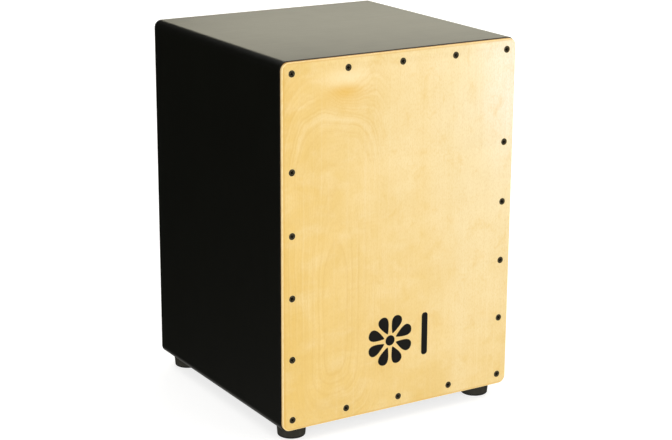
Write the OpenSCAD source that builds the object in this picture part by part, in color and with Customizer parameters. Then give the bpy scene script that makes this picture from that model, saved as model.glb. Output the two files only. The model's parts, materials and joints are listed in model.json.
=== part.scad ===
// Cajon: a wooden box drum with a screwed-on playing plate, four rubber feet, a round
// sound hole in its back and a pair of snares on a bar that turns behind the plate.
// Millimetres. +Z is up, the playing plate faces -Y, and the origin is on the floor
// under the middle of the box.

/* [Box] */
// Width of the box
box_w = 300; // [280:5:320]
// Depth of the box, with its playing plate
box_d = 298; // [280:2:320]
// Height of the box without its feet
box_h = 409; // [400:1:440]
// Thickness of the top, bottom and side panels
wall_t = 9; // [9:0.5:12]
// Outer radius of the box's four long edges
edge_r = 8.6; // [6:0.2:9]
// Thickness of the back panel
back_t = 6; // [4:0.5:8]
// Radius of the sound hole
port_r = 55; // [45:1:65]

/* [Playing plate] */
// Thickness of the playing plate
plate_t = 4; // [3:0.5:5]
// How far the plate stays inside the box's outline
plate_inset = 1; // [0.5:0.5:2]
// Distance from the box's side to the outer columns of screws
screw_inset_x = 12.7; // [12:0.1:15]
// Distance from the box's top and bottom to the outer rows of screws
screw_inset_z = 13; // [12:0.5:15]
// Height between two screws of the side columns
screw_step_z = 69.5; // [66:0.5:72]

/* [Inner battens] */
// Side of the battens that the playing plate is screwed to
front_batten = 18; // [18:1:22]
// Side of the battens that the back panel is glued to
rear_batten = 12; // [10:1:14]
// Side of the glue blocks along the long inner corners
corner_block = 14; // [10:1:16]

/* [Feet] */
// Height of a rubber foot
foot_h = 15; // [14:1:18]
// Radius of a foot against the box
foot_top_r = 16.7; // [15:0.1:18]
// Radius of a foot on the floor
foot_floor_r = 15.6; // [14:0.1:16]
// Distance from the box's side to a foot's centre
foot_inset_x = 26; // [22:1:40]
// Distance from the plate's face to a front foot's centre
foot_inset_front = 26; // [24:1:40]
// Distance from the back to a rear foot's centre
foot_inset_rear = 19; // [18:1:40]

/* [Snares] */
// Radius of the round bar that carries the snares
bar_r = 10; // [9:0.5:11]
// Height of the bar's centre above the underside of the box
bar_z = 270; // [240:5:280]
// Free length of the snare wires above the bar's centre
wire_len = 97; // [80:1:98]
// Number of wires in each snare
wire_count = 10; // [6:1:10]
// Distance between the centres of the two snares
snare_spread = 112; // [80:2:150]
// Depth of the bearing blocks that the bar turns in
block_w = 28; // [26:1:32]

/* [Hidden] */
$fn = 64;

// Places of the box's faces
face_y = -box_d / 2;
plate_back_y = face_y + plate_t;
back_y = box_d / 2;
back_panel_y = back_y - back_t;
side_x = box_w / 2;
inner_x = side_x - wall_t;
floor_z = foot_h;
inner_floor_z = floor_z + wall_t;
top_z = floor_z + box_h;
inner_top_z = top_z - wall_t;
port_z = floor_z + box_h / 2;
// How far a cutting shape runs past the face that it cuts
over = 1;
// How far a screw's hole runs past the screw's tip
tip_room = 0.5;

// Countersunk wood screws of the playing plate
screw_r = 1.75;
screw_head_r = 3.75;
screw_head_land = 0.4;
screw_len = 20;
plate_hole_r = 2;
fit_gap = 0.05;
driver_slot = [4.2, 0.9, 1.6];
screw_columns = 5;
screw_rows = 5;
screw_step_x = (box_w - 2 * screw_inset_x) / (screw_columns - 1);
screw_xs = [for (i = [0 : screw_columns - 1]) -side_x + screw_inset_x + i * screw_step_x];
screw_low_z = floor_z + screw_inset_z;
screw_high_z = top_z - screw_inset_z;
column_zs = concat([for (i = [0 : screw_rows - 1]) screw_low_z + i * screw_step_z], [screw_high_z]);
side_screws = [for (x = [screw_xs[0], screw_xs[screw_columns - 1]]) for (z = column_zs) [x, z]];
row_screws = [for (i = [1 : screw_columns - 2]) for (z = [screw_low_z, screw_high_z]) [screw_xs[i], z]];
plate_screws = concat(side_screws, row_screws);

// Feet, from the floor upwards: recess for the screw's head, washer, rubber, panel
foot_edge_r = 1.2;
foot_recess_r = 6.5;
foot_roof_t = 6;
foot_recess_h = foot_h - foot_roof_t;
washer_r = 6;
washer_t = 1;
foot_screw_head_r = 4;
foot_screw_head_h = 2.4;
foot_screw_depth = 8;
foot_hole_r = 2.1;
foot_spots = [
  [-side_x + foot_inset_x, face_y + foot_inset_front],
  [side_x - foot_inset_x, face_y + foot_inset_front],
  [-side_x + foot_inset_x, back_y - foot_inset_rear],
  [side_x - foot_inset_x, back_y - foot_inset_rear]];

// Snares. They are drawn upright about the bar's axis, then leaned towards the plate.
bar_fit = 0.06;
bar_end_gap = 0.7;
bar_flat_depth = 3;
bar_flat = bar_r - bar_flat_depth;
bar_flat_spare = 2;
clip_w = 46;
clip_h = 13;
clip_t = 1.2;
clip_screw_r = 1.2;
clip_screw_head_r = 2.2;
clip_screw_head_h = 1.2;
clip_screw_len = 9;
clip_screw_z = -3.6;
clip_screw_x = 17;
wire_r = 1.1;
wire_pitch = 4.2;
wire_start_z = 1.5;
wire_y = -bar_flat - clip_t - wire_r;
wire_plate_gap = 0.4;
bar_y = plate_back_y + front_batten + block_w / 2;
bar_axis_z = floor_z + bar_z;
// The lean that brings the tips of the wires up to that gap
wire_front = wire_r - wire_y;
wire_reach = bar_y - plate_back_y - wire_plate_gap;
wire_lean = atan2(wire_len, wire_front) - acos(wire_reach / norm([wire_len, wire_front]));
block_t = 12;
block_h = 66;
block_screw_dz = 24;
block_screw_len = 18;

// ---- Shapes that repeat ----

// Rectangle with round corners, centred on the origin
module rounded_rect(w, h, r) {
  square([w - 2 * r, h], center = true);
  square([w, h - 2 * r], center = true);
  for (sx = [-1, 1]) {
    for (sz = [-1, 1]) {
      translate([sx * (w / 2 - r), sz * (h / 2 - r)]) circle(r);
    }
  }
}

// Upright slab with round corners, between two depths
module rounded_slab(w, h, r, y0, y1) {
  translate([0, y1, floor_z + box_h / 2])
    rotate([90, 0, 0])
      linear_extrude(y1 - y0) rounded_rect(w, h, r);
}

// Box given by its lowest and highest corners
module block(low, high) {
  translate(low) cube(high - low);
}

// Part of the box's round-edged tube between two corners
module tube_panel(low, high) {
  intersection() {
    rounded_slab(box_w, box_h, edge_r, plate_back_y, back_y);
    block(low, high);
  }
}

// Cylinder or cone that runs back from a depth
module bore_y(x, y, z, r1, r2, len) {
  translate([x, y, z]) rotate([-90, 0, 0]) cylinder(r1 = r1, r2 = r2, h = len);
}

// Holes of the plate's screws in a batten behind it
module batten_pilots() {
  depth = screw_len - plate_t + tip_room;
  for (s = plate_screws) {
    bore_y(s[0], plate_back_y - over, s[1], screw_r + fit_gap, screw_r + fit_gap, depth + over);
  }
}

// Cross-shaped recess for a screwdriver, open below the origin
module driver_recess() {
  for (turn = [0, 90]) {
    rotate(turn) translate([-driver_slot[0] / 2, -driver_slot[1] / 2, -over])
      cube([driver_slot[0], driver_slot[1], driver_slot[2] + over]);
  }
}

// Countersunk screw along +Z with its head's face at the origin
module wood_screw(len) {
  cone_h = screw_head_r - screw_r;
  difference() {
    union() {
      cylinder(r = screw_head_r, h = screw_head_land);
      translate([0, 0, screw_head_land]) cylinder(r1 = screw_head_r, r2 = screw_r, h = cone_h);
      cylinder(r = screw_r, h = len);
    }
    driver_recess();
  }
}

// Space for such a screw's head and shank, a little larger than the screw
module wood_screw_space(shank_r, len) {
  land = screw_head_land + fit_gap;
  rim_r = screw_head_r + fit_gap;
  translate([0, 0, -over]) cylinder(r = rim_r, h = land + over);
  translate([0, 0, land]) cylinder(r1 = rim_r, r2 = shank_r, h = rim_r - shank_r);
  cylinder(r = shank_r, h = len);
}

// Square stick that fills one inner corner of the tube
module corner_stick(sx, sz) {
  x0 = sx < 0 ? -inner_x : inner_x - corner_block;
  z0 = sz < 0 ? inner_floor_z : inner_top_z - corner_block;
  low = [x0, plate_back_y + front_batten, z0];
  high = [x0 + corner_block, back_panel_y - rear_batten, z0 + corner_block];
  color("burlywood") block(low, high);
}

// Tapered rubber foot with a recess for its screw
module foot(i) {
  color("dimgray") translate(foot_spots[i]) difference() {
    union() {
      cylinder(r1 = foot_floor_r - foot_edge_r, r2 = foot_floor_r, h = foot_edge_r);
      translate([0, 0, foot_edge_r]) cylinder(r1 = foot_floor_r, r2 = foot_top_r, h = foot_h - foot_edge_r);
    }
    translate([0, 0, -over]) cylinder(r = foot_recess_r, h = foot_recess_h + over);
    cylinder(r = foot_hole_r, h = foot_h + over);
  }
}

// Places its children about the bar's axis, leaned with the wires
module on_bar(x = 0) {
  translate([x, bar_y, bar_axis_z]) rotate([wire_lean, 0, 0]) children();
}

// Bearing block on a side panel: side is -1 at the left and 1 at the right
module snare_block(side) {
  x0 = side < 0 ? -inner_x : inner_x - block_t;
  low = [x0, bar_y - block_w / 2, bar_axis_z - block_h / 2];
  color("tan") difference() {
    block(low, low + [block_t, block_w, block_h]);
    translate([x0 - over, bar_y, bar_axis_z])
      rotate([0, 90, 0])
        cylinder(r = bar_r + bar_fit, h = block_t + 2 * over);
    block_screw_places(side) wood_screw_space(screw_r + fit_gap, block_t + over);
  }
}

// Puts its child at both screws of one bearing block, pointing outwards
module block_screw_places(side) {
  for (dz = [-block_screw_dz, block_screw_dz]) {
    translate([side * (inner_x - block_t), bar_y, bar_axis_z + dz]) rotate([0, side * 90, 0]) children();
  }
}

// Side panel: side is -1 at the left and 1 at the right
module side_panel(side) {
  x0 = side < 0 ? -side_x : inner_x;
  difference() {
    tube_panel([x0, plate_back_y, inner_floor_z], [x0 + wall_t, back_y, inner_top_z]);
    block_screw_places(side) cylinder(r = screw_r + fit_gap, h = block_screw_len + tip_room);
  }
}

// Hole of one clip screw, from a depth backwards
module clip_screw_hole(x, y, len) {
  bore_y(x, y, clip_screw_z, clip_screw_r + fit_gap, clip_screw_r + fit_gap, len);
}

// Metal plate that holds one snare's wires on the bar's flat
module snare_clip(x) {
  color("silver") on_bar(x) difference() {
    translate([-clip_w / 2, -bar_flat - clip_t, -clip_h / 2]) cube([clip_w, clip_t, clip_h]);
    for (dx = [-clip_screw_x, clip_screw_x]) {
      clip_screw_hole(dx, -bar_flat - clip_t - over, clip_t + 2 * over);
    }
  }
}

// One snare's row of wires
module snare_wires(x) {
  color("lightgray") on_bar(x) {
    for (i = [0 : wire_count - 1]) {
      translate([(i - (wire_count - 1) / 2) * wire_pitch, wire_y, wire_start_z])
        cylinder(r = wire_r, h = wire_len - wire_start_z);
    }
  }
}

// ---- Sub-parts ----

module top_panel() {
  color([0.08, 0.08, 0.07])
    tube_panel([-side_x, plate_back_y, inner_top_z], [side_x, back_y, top_z]);
}

module bottom_panel() {
  color([0.08, 0.08, 0.07]) difference() {
    tube_panel([-side_x, plate_back_y, floor_z], [side_x, back_y, inner_floor_z]);
    for (s = foot_spots) {
      translate([s[0], s[1], floor_z - over])
        cylinder(r = screw_r + fit_gap, h = foot_screw_depth + tip_room + over);
    }
  }
}

module left_side_panel() {
  color([0.08, 0.08, 0.07]) side_panel(-1);
}

module right_side_panel() {
  color([0.08, 0.08, 0.07]) side_panel(1);
}

module back_panel() {
  color([0.1, 0.1, 0.09]) difference() {
    block([-inner_x, back_panel_y, inner_floor_z], [inner_x, back_y, inner_top_z]);
    bore_y(0, back_panel_y - over, port_z, port_r, port_r, back_t + 2 * over);
  }
}

module front_plate() {
  color([0.93, 0.82, 0.6]) difference() {
    rounded_slab(box_w - 2 * plate_inset, box_h - 2 * plate_inset, edge_r, face_y, plate_back_y);
    for (s = plate_screws) {
      translate([s[0], face_y, s[1]]) rotate([-90, 0, 0]) wood_screw_space(plate_hole_r, plate_t + over);
    }
  }
}

module front_plate_screws() {
  color([0.15, 0.15, 0.15]) for (s = plate_screws) {
    translate([s[0], face_y, s[1]]) rotate([-90, 0, 0]) wood_screw(screw_len);
  }
}

// Batten behind the plate, drilled for its screws
module front_batten_bar(x0, x1, z0, z1) {
  color("burlywood") difference() {
    block([x0, plate_back_y, z0], [x1, plate_back_y + front_batten, z1]);
    batten_pilots();
  }
}

module front_batten_top() {
  front_batten_bar(-inner_x, inner_x, inner_top_z - front_batten, inner_top_z);
}

module front_batten_bottom() {
  front_batten_bar(-inner_x, inner_x, inner_floor_z, inner_floor_z + front_batten);
}

module front_batten_left() {
  front_batten_bar(-inner_x, -inner_x + front_batten,
    inner_floor_z + front_batten, inner_top_z - front_batten);
}

module front_batten_right() {
  front_batten_bar(inner_x - front_batten, inner_x,
    inner_floor_z + front_batten, inner_top_z - front_batten);
}

// Batten in front of the back panel
module rear_batten_bar(x0, x1, z0, z1) {
  color("burlywood") block([x0, back_panel_y - rear_batten, z0], [x1, back_panel_y, z1]);
}

module rear_batten_top() {
  rear_batten_bar(-inner_x, inner_x, inner_top_z - rear_batten, inner_top_z);
}

module rear_batten_bottom() {
  rear_batten_bar(-inner_x, inner_x, inner_floor_z, inner_floor_z + rear_batten);
}

module rear_batten_left() {
  rear_batten_bar(-inner_x, -inner_x + rear_batten, inner_floor_z + rear_batten, inner_top_z - rear_batten);
}

module rear_batten_right() {
  rear_batten_bar(inner_x - rear_batten, inner_x, inner_floor_z + rear_batten, inner_top_z - rear_batten);
}

module corner_block_top_left() {
  corner_stick(-1, 1);
}

module corner_block_top_right() {
  corner_stick(1, 1);
}

module corner_block_bottom_left() {
  corner_stick(-1, -1);
}

module corner_block_bottom_right() {
  corner_stick(1, -1);
}

module foot_front_left() {
  foot(0);
}

module foot_front_right() {
  foot(1);
}

module foot_rear_left() {
  foot(2);
}

module foot_rear_right() {
  foot(3);
}

module foot_washers() {
  color("silver") for (s = foot_spots) {
    translate([s[0], s[1], foot_recess_h - washer_t]) difference() {
      cylinder(r = washer_r, h = washer_t);
      translate([0, 0, -over]) cylinder(r = foot_hole_r, h = washer_t + 2 * over);
    }
  }
}

module foot_screws() {
  head_z = foot_recess_h - washer_t - foot_screw_head_h;
  color([0.15, 0.15, 0.15]) for (s = foot_spots) {
    translate([s[0], s[1], head_z]) difference() {
      union() {
        cylinder(r = foot_screw_head_r, h = foot_screw_head_h);
        cylinder(r = screw_r, h = foot_h - head_z + foot_screw_depth);
      }
      driver_recess();
    }
  }
}

module snare_block_left() {
  snare_block(-1);
}

module snare_block_right() {
  snare_block(1);
}

module snare_block_screws() {
  color([0.15, 0.15, 0.15]) for (side = [-1, 1]) {
    block_screw_places(side) wood_screw(block_screw_len);
  }
}

module snare_bar() {
  half = inner_x - bar_end_gap;
  flat_w = clip_w + bar_flat_spare;
  color("wheat") on_bar() difference() {
    translate([-half, 0, 0]) rotate([0, 90, 0]) cylinder(r = bar_r, h = 2 * half);
    for (sx = [-1, 1]) {
      translate([sx * snare_spread / 2 - flat_w / 2, -bar_r - over, -bar_r - over])
        cube([flat_w, bar_r - bar_flat + over, 2 * (bar_r + over)]);
      for (dx = [-clip_screw_x, clip_screw_x]) {
        clip_screw_hole(sx * snare_spread / 2 + dx, -bar_flat - over, clip_screw_len + over);
      }
    }
  }
}

module snare_clip_left() {
  snare_clip(-snare_spread / 2);
}

module snare_clip_right() {
  snare_clip(snare_spread / 2);
}

module snare_wires_left() {
  snare_wires(-snare_spread / 2);
}

module snare_wires_right() {
  snare_wires(snare_spread / 2);
}

module snare_clip_screws() {
  color("gray") for (sx = [-1, 1]) {
    on_bar(sx * snare_spread / 2) for (dx = [-clip_screw_x, clip_screw_x]) {
      head_y = -bar_flat - clip_t - clip_screw_head_h;
      bore_y(dx, head_y, clip_screw_z, clip_screw_head_r, clip_screw_head_r, clip_screw_head_h);
      bore_y(dx, head_y, clip_screw_z, clip_screw_r, clip_screw_r, clip_screw_head_h + clip_screw_len);
    }
  }
}

top_panel();
bottom_panel();
left_side_panel();
right_side_panel();
back_panel();
front_plate();
front_plate_screws();
front_batten_top();
front_batten_bottom();
front_batten_left();
front_batten_right();
rear_batten_top();
rear_batten_bottom();
rear_batten_left();
rear_batten_right();
corner_block_top_left();
corner_block_top_right();
corner_block_bottom_left();
corner_block_bottom_right();
foot_front_left();
foot_front_right();
foot_rear_left();
foot_rear_right();
foot_washers();
foot_screws();
snare_block_left();
snare_block_right();
snare_block_screws();
snare_bar();
snare_clip_left();
snare_clip_right();
snare_wires_left();
snare_wires_right();
snare_clip_screws();
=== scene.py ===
"""Looks of the cajon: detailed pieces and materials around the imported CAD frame, in metres.

+Z is up, the playing plate faces -Y, and the origin is on the floor under the middle of the box.
"""

import json
import math
import random

import bmesh
import bpy
from mathutils import Matrix, Vector
from mathutils.geometry import tessellate_polygon


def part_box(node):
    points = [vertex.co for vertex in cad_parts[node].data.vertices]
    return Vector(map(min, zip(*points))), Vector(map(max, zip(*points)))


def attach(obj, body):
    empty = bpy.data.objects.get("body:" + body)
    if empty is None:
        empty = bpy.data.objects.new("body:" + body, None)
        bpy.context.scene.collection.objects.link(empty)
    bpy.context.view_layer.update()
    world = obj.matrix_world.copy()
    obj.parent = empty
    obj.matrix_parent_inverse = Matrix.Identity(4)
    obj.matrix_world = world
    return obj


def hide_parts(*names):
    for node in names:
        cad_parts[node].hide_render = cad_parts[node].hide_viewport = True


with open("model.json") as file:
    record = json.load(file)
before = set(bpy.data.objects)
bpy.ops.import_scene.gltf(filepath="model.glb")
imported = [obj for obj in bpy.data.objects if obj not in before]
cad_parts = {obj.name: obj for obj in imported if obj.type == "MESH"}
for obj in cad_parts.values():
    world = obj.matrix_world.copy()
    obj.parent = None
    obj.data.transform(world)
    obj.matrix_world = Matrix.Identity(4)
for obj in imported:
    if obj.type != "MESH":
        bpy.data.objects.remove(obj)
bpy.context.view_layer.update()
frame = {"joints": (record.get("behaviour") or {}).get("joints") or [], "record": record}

MM = 0.001
rng = random.Random(7)

# ---------------------------------------------------------------- places taken from the frame

PLATE_LOW, PLATE_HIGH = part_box("front_plate")
BODY_LOW, BODY_HIGH = Vector(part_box("bottom_panel")[0]), Vector(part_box("top_panel")[1])
FACE_Y = PLATE_LOW[1]
PLATE_BACK_Y = PLATE_HIGH[1]
BACK_Y = BODY_HIGH[1]
SIDE_X = BODY_HIGH[0]
BOX_BOTTOM_Z, BOX_TOP_Z = BODY_LOW[2], BODY_HIGH[2]
BOX_MIDDLE_Z = (BOX_BOTTOM_Z + BOX_TOP_Z) / 2
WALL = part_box("bottom_panel")[1][2] - BOX_BOTTOM_Z
INNER_X = SIDE_X - WALL
INNER_BOTTOM_Z, INNER_TOP_Z = BOX_BOTTOM_Z + WALL, BOX_TOP_Z - WALL
EDGE_R = 8.6 * MM
PORT_R = 55 * MM

SCREW_INSET_X = 12.7 * MM
SCREW_INSET_Z = 13 * MM
SCREW_STEP_Z = 69.5 * MM
SCREW_HEAD_R = 3.75 * MM
SCREW_R = 1.75 * MM

PIVOT = next(j for j in frame["joints"] if j["name"] == "snare_bar_pivot")
BAR_CENTRE = Vector(PIVOT["pos_m"])
BAR_R = 10 * MM
# Places on the bar are given with its wires upright, from its axis at the middle of a snare
SNARE_X = 56 * MM
BAR_FLAT_Y = -7 * MM
CLIP_T = 1.2 * MM
CLIP_FACE_Y = BAR_FLAT_Y - CLIP_T
CLIP_SCREW_XS = (-17 * MM, 17 * MM)
CLIP_SCREW_Z = -3.6 * MM
WIRE_COUNT = 10
WIRE_PITCH = 4.2 * MM
WIRE_R = 1.1 * MM
WIRE_LOW_Z, WIRE_HIGH_Z = 1.5 * MM, 97 * MM
WIRE_FRONT = 2 * WIRE_R - CLIP_FACE_Y
# The wires lean until their tips are this far from the plate's back
TIP_GAP = 0.4 * MM
TIP_REACH = BAR_CENTRE.y - PLATE_BACK_Y - TIP_GAP
TIP_R = math.hypot(WIRE_HIGH_Z, WIRE_FRONT)
WIRE_LEAN = math.atan2(WIRE_HIGH_Z, WIRE_FRONT) - math.acos(TIP_REACH / TIP_R)

# ---------------------------------------------------------------- node maths for the materials


class Signal:
    """A number or vector socket that can be added, multiplied and so on."""

    def __init__(self, tree, socket):
        self.tree = tree
        self.socket = socket

    def math(self, operation, *others, clamp=False):
        node = self.tree.nodes.new("ShaderNodeMath")
        node.operation = operation
        node.use_clamp = clamp
        for place, value in zip(node.inputs, (self, *others)):
            connect(self.tree, value, place)
        return Signal(self.tree, node.outputs[0])

    def __add__(self, other):
        return self.math("ADD", other)

    def __sub__(self, other):
        return self.math("SUBTRACT", other)

    def __mul__(self, other):
        return self.math("MULTIPLY", other)

    def __truediv__(self, other):
        return self.math("DIVIDE", other)

    def abs(self):
        return self.math("ABSOLUTE")

    def squared(self):
        return self.math("MULTIPLY", self)

    def sine(self):
        return self.math("SINE")

    def beyond(self, value):
        """How far the signal is past that value, and 0 before it."""
        return (self - value).math("MAXIMUM", 0.0)

    def near(self, value, reach):
        """1 where the signal has that value, fading to 0 around it."""
        return (((self - value) / reach).squared() * -1.0).math("EXPONENT")

    def smooth(self, low, high, to_low=0.0, to_high=1.0):
        """Goes smoothly from to_low at low to to_high at high."""
        node = self.tree.nodes.new("ShaderNodeMapRange")
        node.interpolation_type = "SMOOTHSTEP"
        limits = {"From Min": low, "From Max": high, "To Min": to_low, "To Max": to_high}
        for name, value in limits.items():
            node.inputs[name].default_value = value
        connect(self.tree, self, node.inputs["Value"])
        return Signal(self.tree, node.outputs["Result"])


def connect(tree, value, place):
    if isinstance(value, Signal):
        tree.links.new(value.socket, place)
    else:
        place.default_value = value


# Sockets of a Mix node that mixes colours
MIX_AMOUNT, MIX_LOW, MIX_HIGH, MIX_RESULT = 0, 6, 7, 2


def blend_colours(tree, amount, low, high):
    """Colour that goes from low to high."""
    node = tree.nodes.new("ShaderNodeMix")
    node.data_type = "RGBA"
    connect(tree, amount, node.inputs[MIX_AMOUNT])
    for value, place in ((low, node.inputs[MIX_LOW]), (high, node.inputs[MIX_HIGH])):
        connect(tree, value if isinstance(value, Signal) else (*value, 1.0), place)
    return Signal(tree, node.outputs[MIX_RESULT])


class Paint:
    """A new material, with short names for the nodes that its look is made of."""

    def __init__(self, name, roughness=0.5, metallic=0.0, specular=0.5):
        self.material = bpy.data.materials.new(name)
        self.material.use_nodes = True
        self.tree = self.material.node_tree
        self.shader = self.tree.nodes["Principled BSDF"]
        self.shader.inputs["Roughness"].default_value = roughness
        self.shader.inputs["Metallic"].default_value = metallic
        self.shader.inputs["Specular IOR Level"].default_value = specular
        place = self.tree.nodes.new("ShaderNodeTexCoord")
        self.place = place.outputs["Object"]
        self.facing = Signal(self.tree, place.outputs["Normal"])

    def axes(self, source=None):
        """The three coordinates of a point, in metres."""
        node = self.tree.nodes.new("ShaderNodeSeparateXYZ")
        self.tree.links.new((source or Signal(self.tree, self.place)).socket, node.inputs[0])
        return [Signal(self.tree, out) for out in node.outputs]

    def noise(self, scale, detail=2.0, roughness=0.5, distortion=0.0, offset=(0, 0, 0)):
        """Soft noise from 0 to 1, with its own number of bumps per metre along X, Y and Z."""
        mapping = self.tree.nodes.new("ShaderNodeMapping")
        mapping.inputs["Scale"].default_value = scale
        mapping.inputs["Location"].default_value = offset
        self.tree.links.new(self.place, mapping.inputs["Vector"])
        node = self.tree.nodes.new("ShaderNodeTexNoise")
        node.inputs["Scale"].default_value = 1.0
        node.inputs["Detail"].default_value = detail
        node.inputs["Roughness"].default_value = roughness
        node.inputs["Distortion"].default_value = distortion
        self.tree.links.new(mapping.outputs[0], node.inputs["Vector"])
        return Signal(self.tree, node.outputs["Fac"])

    def spot(self, centre, size):
        """1 at a place on the plate, given as X and Z, fading to 0 around it."""
        x, _, z = self.axes()
        return x.near(centre[0], size[0]) * z.near(centre[1], size[1])

    def mix(self, amount, low, high):
        return blend_colours(self.tree, amount, low, high)

    def layered(self, ground, layers):
        """Lays colours over the ground one after another. layers holds (amount, colour) pairs."""
        for amount, colour in layers:
            ground = self.mix(amount, ground, colour)
        return ground

    def colour(self, value):
        connect(self.tree, value, self.shader.inputs["Base Color"])

    def rough(self, value):
        connect(self.tree, value, self.shader.inputs["Roughness"])

    def bump(self, height, depth):
        """Raises the surface by height, from 0 to 1, times depth in metres."""
        node = self.tree.nodes.new("ShaderNodeBump")
        node.inputs["Distance"].default_value = depth
        node.inputs["Strength"].default_value = 1.0
        connect(self.tree, height, node.inputs["Height"])
        self.tree.links.new(node.outputs[0], self.shader.inputs["Normal"])

    def worn_edges(self):
        """1 on rounded edges, broken up by noise, and 0 on flat faces."""
        nx, ny, nz = self.axes(self.facing)
        flat = nx.abs().math("MAXIMUM", ny.abs()).math("MAXIMUM", nz.abs())
        edge = flat.smooth(0.99, 0.76)
        return edge * self.noise((90, 90, 90), detail=4).smooth(0.45, 0.68)


# ---------------------------------------------------------------- materials


# Middle line of the birch's loops, and the heights between which their sides run straight
LOOPS_X = -83 * MM
LOOPS_LOW_Z, LOOPS_HIGH_Z = 132 * MM, 150 * MM
GROWTH_BROWN = (0.660, 0.380, 0.070)
GROWTH_CREAM = (0.900, 0.760, 0.470)


def birch_figure(paint):
    """Growth rings of a rotary-cut veneer, as a distance in metres from the middle of tall nested loops.

    A second, small centre near the top pushes the loops down. Its closeness comes back as well.
    """
    x, _, z = paint.axes()
    wobble = paint.noise((16, 1, 7), detail=3, offset=(3.1, 0, 1.7)) - 0.5
    fine = paint.noise((70, 1, 40), detail=2, offset=(0.4, 0, 5.3)) - 0.5
    across = (x - LOOPS_X).abs()
    over = z.beyond(LOOPS_HIGH_Z)
    under = (z * -1.0).beyond(-LOOPS_LOW_Z)
    above = over * 0.29 - over.beyond(55 * MM) * 0.19 + over.beyond(150 * MM) * 0.35
    below = under * 0.27 + under.beyond(62 * MM) * 0.37
    cubes = across.math("POWER", 3.0) + (above + below).math("POWER", 3.0)
    dent = paint.spot((-68 * MM, 392 * MM), (27 * MM, 30 * MM))
    rings = cubes.math("POWER", 1 / 3) + dent * (16 * MM) + wobble * (12 * MM) + fine * (3.2 * MM)
    return rings, dent


def ring_lines(rings, lines):
    """Growth lines. lines gives each one's distance and half width in millimetres, and its strength."""
    shades = [rings.near(place * MM, reach * MM) * strength for place, reach, strength in lines]
    return sum(shades[1:], shades[0])


def birch_tone(paint, clouds):
    """Broad colour of the plate: honey low on the left, paler to the right and upwards, partly real tone
    and partly painted sheen.
    """
    x, _, z = paint.axes()
    # Paling to the right and upwards: partly the veneer's tone, partly a painted sheen of a light from the
    # right
    paleness_and_painted_sheen = ((x + 170 * MM) / (280 * MM)).math("MULTIPLY", z * 1.75 + 0.29, clamp=True)
    honey = paint.mix(clouds, (0.760, 0.505, 0.128), (0.805, 0.555, 0.166))
    pale = paint.mix(clouds, (0.850, 0.715, 0.430), (0.880, 0.765, 0.520))
    upper_right_painted_sheen = x.smooth(75 * MM, 150 * MM) * z.smooth(230 * MM, 370 * MM)
    upper_left = paint.spot((-142 * MM, 375 * MM), (8 * MM, 35 * MM))
    shimmer = paint.noise((30, 1, 46), detail=4, roughness=0.55, distortion=0.4, offset=(5, 0, 5))
    ochre = paint.noise((52, 1, 40), detail=4, roughness=0.6, distortion=0.6, offset=(7, 0, 1))
    return paint.layered(paint.mix(paleness_and_painted_sheen, honey, pale), (
        # Painted sheen: the upper right is paled further
        (upper_right_painted_sheen * 0.75, (0.915, 0.845, 0.700)),
        (x.near(27 * MM, 15 * MM) * 0.30, (0.790, 0.560, 0.190)),
        (x.near(84 * MM, 12 * MM) * 0.16, (0.890, 0.790, 0.560)),
        (upper_left * 0.5, (0.740, 0.485, 0.130)),
        (shimmer.smooth(0.42, 0.75) * 0.30, (0.880, 0.730, 0.430)),
        (ochre.smooth(0.50, 0.74) * 0.36, (0.740, 0.485, 0.120)),
    ))


def birch_growth(paint, ground, rings):
    """Lays the growth rings over the ground. The colour and the dark lines come back."""
    x, _, z = paint.axes()
    turn = 2 * math.pi
    drift = paint.noise((9, 1, 5), detail=2, offset=(2, 0, 8)) * 5.0
    patchy = paint.noise((17, 1, 9), detail=3, offset=(8, 0, 2)).smooth(0.40, 0.66) * 0.8 + 0.2
    patchy_fine = paint.noise((24, 1, 12), detail=3, offset=(6, 0, 4)).smooth(0.36, 0.62)
    figured = x.smooth(-5 * MM, -40 * MM, 0.10, 1.0) * rings.smooth(11 * MM, 17 * MM)
    loops = rings * (turn / (7.6 * MM)) + drift
    lines = loops.sine().smooth(0.55, 1.0) * patchy * figured
    pale_lines = (loops + 1.3).sine().smooth(0.6, 1.0) * patchy * figured
    arcs = (rings * (turn / (2.4 * MM)) + drift).sine().smooth(0.1, 1.0) * patchy_fine * figured
    upper, lower = z.smooth(295 * MM, 335 * MM), z.smooth(250 * MM, 200 * MM)
    arch = rings.near(54.5 * MM, 1.7 * MM) * upper
    arch_lines = ring_lines(rings, ((51.4, 0.5, 1.0), (57.2, 0.5, 1.0), (59.2, 0.5, 0.7), (46.5, 0.6, 1.0)))
    oval_lines = ring_lines(rings, ((16.0, 0.6, 1.0), (22.5, 0.6, 0.8), (30.5, 0.7, 0.8), (39.5, 0.8, 0.6)))
    ground = paint.layered(ground, (
        (lines * 0.12, GROWTH_BROWN),
        (arcs * 0.12, GROWTH_BROWN),
        (pale_lines * 0.09, GROWTH_CREAM),
        (arch * 0.21, GROWTH_CREAM),
        (arch_lines * upper * 0.16 + oval_lines * lower * 0.21, GROWTH_BROWN),
    ))
    return ground, lines


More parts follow.
